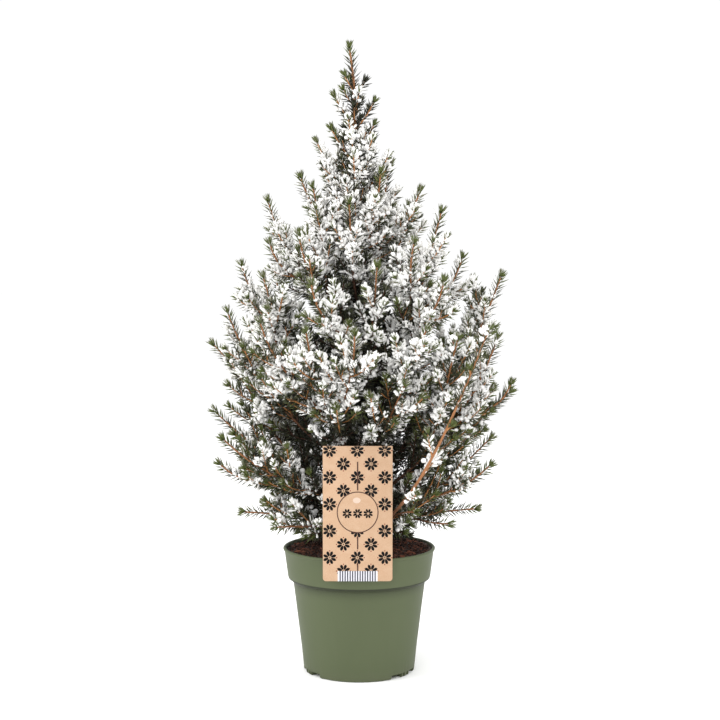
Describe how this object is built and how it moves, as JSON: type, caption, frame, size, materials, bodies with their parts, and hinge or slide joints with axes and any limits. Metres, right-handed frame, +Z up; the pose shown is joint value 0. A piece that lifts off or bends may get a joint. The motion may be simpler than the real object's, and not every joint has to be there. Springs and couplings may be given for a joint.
{
  "type": "potted dwarf white spruce",
  "caption": "Small cone-shaped spruce with snowy needles in a round nursery pot, with a card label hooked on the rim.",
  "frame": {"origin": "middle of the pot's flat underside", "axes": "+Z up along the pot's axis and the trunk, -Y towards the side that the label is on"},
  "size_m": [0.3075, 0.2688, 0.6107],
  "materials": {
    "pot_plastic": "satin moulded plastic, sage green",
    "compost": "moist brown bark and peat crumbs",
    "label_card": "printed kraft card, peach with black stars",
    "bark": "thin scaly bark, orange brown on young shoots",
    "needles": "short stiff needles, grey green, loaded with snow"
  },
  "bodies": {
    "root": {"bough_lower_01": "bark", "bough_lower_02": "bark", "bough_lower_03": "bark", "bough_lower_04": "bark", "bough_lower_05": "bark", "bough_lower_06": "bark", "bough_lower_07": "bark", "bough_middle_01": "bark", "bough_middle_02": "bark", "bough_middle_03": "bark", "bough_middle_04": "bark", "bough_middle_05": "bark", "bough_middle_06": "bark", "bough_middle_07": "bark", "bough_skirt_01": "bark", "bough_skirt_02": "bark", "bough_skirt_03": "bark", "bough_skirt_04": "bark", "bough_skirt_05": "bark", "bough_skirt_06": "bark", "label": "label_card", "needles_inner_01": "needles", "needles_inner_02": "needles", "needles_leader": "needles", "needles_lower_01": "needles", "needles_lower_02": "needles", "needles_lower_03": "needles", "needles_lower_04": "needles", "needles_lower_05": "needles", "needles_lower_06": "needles", "needles_lower_07": "needles", "needles_middle_01": "needles", "needles_middle_02": "needles", "needles_middle_03": "needles", "needles_middle_04": "needles", "needles_middle_05": "needles", "needles_middle_06": "needles", "needles_middle_07": "needles", "needles_skirt_01": "needles", "needles_skirt_02": "needles", "needles_skirt_03": "needles", "needles_skirt_04": "needles", "needles_skirt_05": "needles", "needles_skirt_06": "needles", "needles_upper_01": "needles", "needles_upper_02": "needles", "needles_upper_03": "needles", "needles_upper_04": "needles", "needles_upper_05": "needles", "needles_upper_06": "needles", "needles_upper_07": "needles", "needles_upper_08": "needles", "needles_upper_09": "needles", "needles_upper_10": "needles", "needles_upper_11": "needles", "needles_upper_12": "needles", "pot": "pot_plastic", "soil": "compost", "trunk": "bark"}
  },
  "joints": []
}
